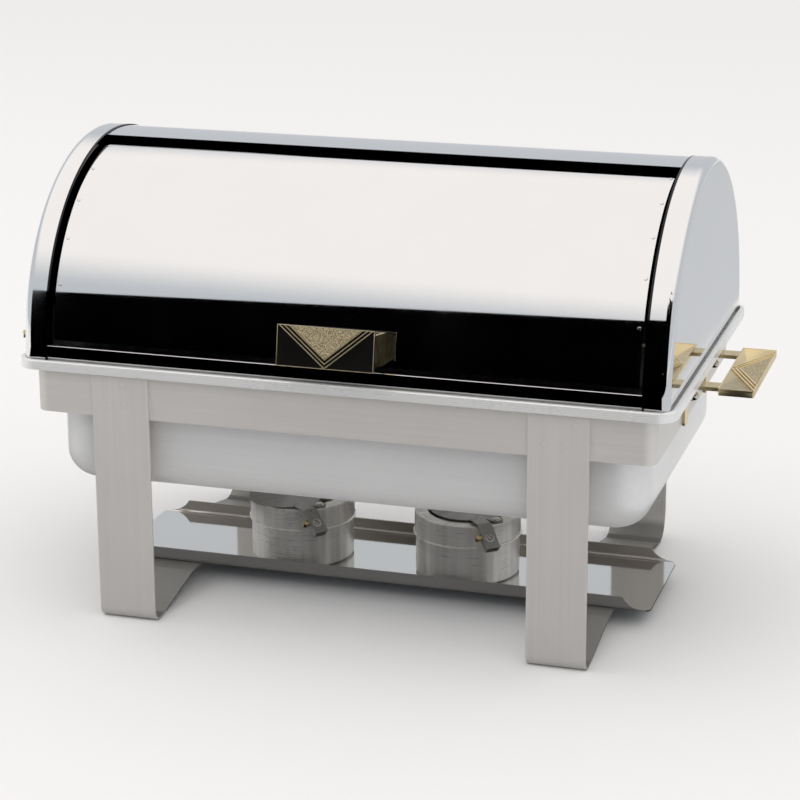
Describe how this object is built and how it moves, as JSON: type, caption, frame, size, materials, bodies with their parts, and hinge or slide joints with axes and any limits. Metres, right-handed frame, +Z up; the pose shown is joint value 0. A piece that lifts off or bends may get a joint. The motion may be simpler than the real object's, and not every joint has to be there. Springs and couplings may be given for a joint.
{
  "type": "chafing dish",
  "caption": "Rectangular roll-top chafing dish: polished dome with rolling front cover, water pan on a strap-leg stand, brass handles and fuel holders on a lower shelf.",
  "frame": {"origin": "on the floor, under the middle of the object's length and depth", "axes": "+X along the length to the right, -Y to the front where the cover's grip is, +Z up"},
  "size_m": [0.712, 0.3918, 0.431],
  "materials": {
    "satin_steel": "satin brushed stainless steel",
    "mirror_steel": "mirror polished stainless steel",
    "pan_steel": "bright drawn stainless steel",
    "holder_steel": "spun stainless steel",
    "brass": "satin gold-toned brass",
    "bright_steel": "bright plated fastener",
    "fuel_tin": null
  },
  "bodies": {
    "stand": {"collar_band": "satin_steel", "burner_shelf": "mirror_steel", "leg_strap_left": "satin_steel", "leg_strap_right": "satin_steel", "handle_plate_left": "brass", "handle_bolts_left": "bright_steel", "acorn_nuts_left": "bright_steel", "handle_plate_right": "brass", "handle_bolts_right": "bright_steel", "acorn_nuts_right": "bright_steel", "handle_bracket_left_front": "brass", "handle_bracket_left_rear": "brass", "handle_bracket_right_front": "brass", "handle_bracket_right_rear": "brass"},
    "water_pan_unit": {"rim_frame": "mirror_steel", "water_pan": "satin_steel"},
    "food_pan_unit": {"food_pan": "pan_steel"},
    "dome": {"dome_rear_shell": "mirror_steel", "dome_front_rail": "mirror_steel", "dome_end_cap_left": "mirror_steel", "dome_end_cap_right": "mirror_steel", "cover_pivot_pin_left": "bright_steel", "cover_pivot_pin_right": "bright_steel"},
    "roll_cover": {"rolling_cover": "mirror_steel", "cover_side_plate_left": "mirror_steel", "cover_side_plate_right": "mirror_steel", "cover_grip_plate": "brass", "cover_grip_bracket": "brass", "cover_grip_screws": "bright_steel"},
    "fuel_holder_left": {"fuel_holder_cup_left": "holder_steel", "fuel_holder_sleeve_left": "holder_steel", "fuel_can_left": "fuel_tin", "burner_rivet_left": "bright_steel"},
    "fuel_holder_right": {"fuel_holder_cup_right": "holder_steel", "fuel_holder_sleeve_right": "holder_steel", "fuel_can_right": "fuel_tin", "burner_rivet_right": "bright_steel"},
    "lid_left": {"burner_lid_left": "holder_steel", "burner_lever_left": "holder_steel"},
    "lid_right": {"burner_lid_right": "holder_steel", "burner_lever_right": "holder_steel"}
  },
  "joints": [
    {"name": "water_pan_lift", "type": "slide", "parent": "stand", "child": "water_pan_unit", "axis": [0, 0, 1], "range_m": [0, 0.04]},
    {"name": "food_pan_lift", "type": "slide", "parent": "water_pan_unit", "child": "food_pan_unit", "axis": [0, 0, 1], "range_m": [0, 0.045]},
    {"name": "dome_lift", "type": "slide", "parent": "water_pan_unit", "child": "dome", "axis": [0, 0, 1], "range_m": [0, 0.06]},
    {"name": "cover_roll", "type": "hinge", "parent": "dome", "child": "roll_cover", "pos_m": [0, 0.00992, 0.251], "axis": [-1, 0, 0], "range_deg": [0, 66]},
    {"name": "holder_lift_left", "type": "slide", "parent": "stand", "child": "fuel_holder_left", "axis": [0, 0, 1], "range_m": [0, 0.02]},
    {"name": "holder_lift_right", "type": "slide", "parent": "stand", "child": "fuel_holder_right", "axis": [0, 0, 1], "range_m": [0, 0.02]},
    {"name": "lid_swing_left", "type": "hinge", "parent": "fuel_holder_left", "child": "lid_left", "pos_m": [-0.06312, -0.03053, 0.0803], "axis": [0, 0, 1], "range_deg": [-25, 15]},
    {"name": "lid_swing_right", "type": "hinge", "parent": "fuel_holder_right", "child": "lid_right", "pos_m": [0.11167, -0.02325, 0.0803], "axis": [0, 0, 1], "range_deg": [0, 40]}
  ]
}
